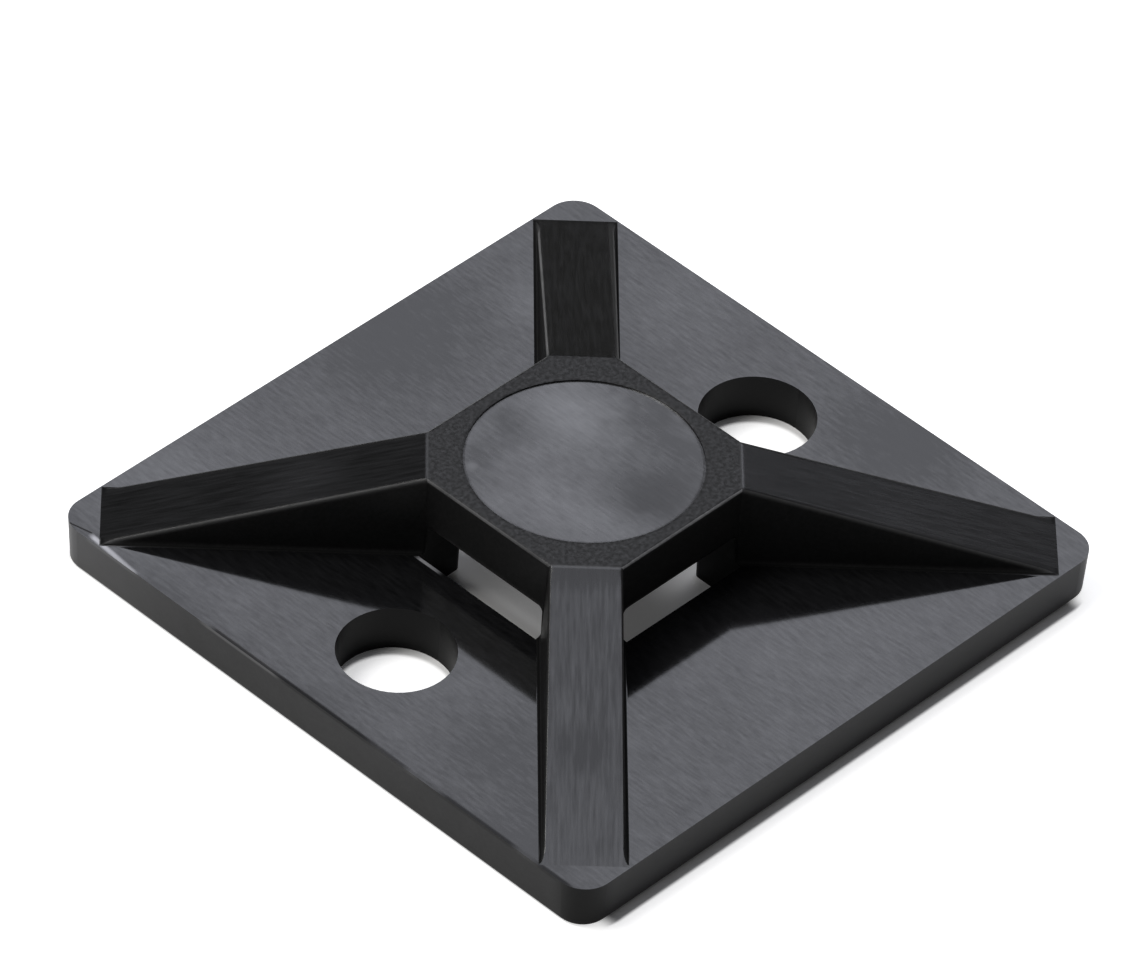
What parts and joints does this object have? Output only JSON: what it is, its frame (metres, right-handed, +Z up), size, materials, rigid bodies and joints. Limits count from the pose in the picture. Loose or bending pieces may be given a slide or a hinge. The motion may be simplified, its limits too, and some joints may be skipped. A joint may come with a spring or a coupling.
{
  "type": "cable tie mount",
  "caption": "Square moulded nylon base with a bridged platform that holds a cable tie threaded under it either way, braced by diagonal ramps, with screw holes beside it.",
  "frame": {"origin": "centre of the underside of the base", "axes": "X and Y along the sides of the square base with the screw holes on X, +Z up from the fixing surface through the platform"},
  "size_m": [0.028, 0.028, 0.0056],
  "materials": {
    "black_nylon": "black moulded nylon, fine tooling lines on the flat faces"
  },
  "bodies": {
    "root": {"tie_mount_body": "black_nylon"}
  },
  "joints": []
}
